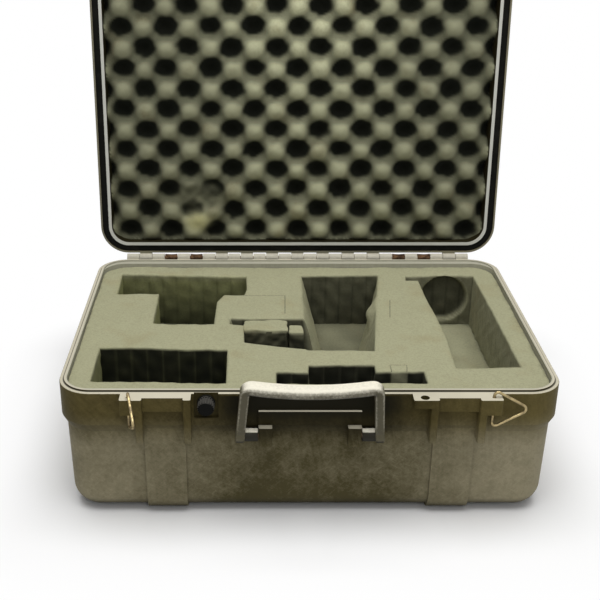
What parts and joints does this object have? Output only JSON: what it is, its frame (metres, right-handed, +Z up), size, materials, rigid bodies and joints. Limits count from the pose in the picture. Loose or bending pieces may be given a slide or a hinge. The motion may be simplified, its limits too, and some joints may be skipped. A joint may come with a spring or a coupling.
{
  "type": "hard case",
  "caption": "Moulded hard carrying case standing open, with pinned lid, cut foam pockets, egg-crate lid foam, lever latches, swinging handle, strap rings and a pressure valve.",
  "frame": {"origin": "on the floor under the middle of the base's rim", "axes": "+X to the case's right seen from its front, +Y from the front with the handle to the hinge, +Z up"},
  "size_m": [0.464, 0.4475, 0.5169],
  "materials": {
    "shell": "matte",
    "foam": "matte",
    "gasket": "matte",
    "handle": "satin",
    "latch": "satin",
    "ring": "satin",
    "pin": "satin",
    "valve": "satin"
  },
  "bodies": {
    "base": {"base_shell": "shell", "base_foam_floor_pad": "foam", "base_foam_pluck_layer": "foam", "base_foam_recess_strip": "foam", "foam_plug_wide": "foam", "foam_plug_narrow": "foam", "hinge_pin": "pin", "handle_pin_left": "pin", "handle_pin_right": "pin", "purge_valve_body": "valve", "purge_valve_seal": "gasket"},
    "lid": {"lid_shell": "shell", "lid_gasket": "gasket", "lid_foam": "foam", "latch_pin_left": "pin", "latch_pin_right": "pin"},
    "handle": {"handle": "handle"},
    "purge_knob": {"purge_valve_knob": "valve"},
    "ring_left": {"strap_ring_left": "ring"},
    "ring_right": {"strap_ring_right": "ring"},
    "claw_left": {"latch_claw_left": "latch", "latch_link_pin_left": "pin"},
    "lever_left": {"latch_lever_left": "latch"},
    "claw_right": {"latch_claw_right": "latch", "latch_link_pin_right": "pin"},
    "lever_right": {"latch_lever_right": "latch"}
  },
  "joints": [
    {"name": "lid_hinge", "type": "hinge", "parent": "base", "child": "lid", "pos_m": [0, 0.1665, 0.1352], "axis": [1, 0, 0], "range_deg": [0, 94.8]},
    {"name": "handle_swing", "type": "hinge", "parent": "base", "child": "handle", "pos_m": [0, -0.166, 0.095], "axis": [1, 0, 0], "range_deg": [-6, 160]},
    {"name": "purge_knob_turn", "type": "hinge", "parent": "base", "child": "purge_knob", "pos_m": [-0.0945, -0.1624, 0.125], "axis": [0, -1, 0], "range_deg": [0, 300]},
    {"name": "ring_left_swing", "type": "hinge", "parent": "base", "child": "ring_left", "pos_m": [-0.1645, -0.1675, 0.118], "axis": [0, 0, -1], "range_deg": [0, 90]},
    {"name": "ring_right_swing", "type": "hinge", "parent": "base", "child": "ring_right", "pos_m": [0.1645, -0.1675, 0.118], "axis": [0, 0, -1], "range_deg": [0, 90]},
    {"name": "claw_left_swing", "type": "hinge", "parent": "lid", "child": "claw_left", "pos_m": [-0.1335, 0.21167, 0.46759], "axis": [1, 0, 0], "range_deg": [0, 115]},
    {"name": "lever_left_swing", "type": "hinge", "parent": "claw_left", "child": "lever_left", "pos_m": [-0.1335, 0.21894, 0.47725], "axis": [-1, 0, 0], "range_deg": [0, 70]},
    {"name": "claw_right_swing", "type": "hinge", "parent": "lid", "child": "claw_right", "pos_m": [0.1335, 0.21167, 0.46759], "axis": [1, 0, 0], "range_deg": [0, 115]},
    {"name": "lever_right_swing", "type": "hinge", "parent": "claw_right", "child": "lever_right", "pos_m": [0.1335, 0.21894, 0.47725], "axis": [-1, 0, 0], "range_deg": [0, 70]}
  ]
}
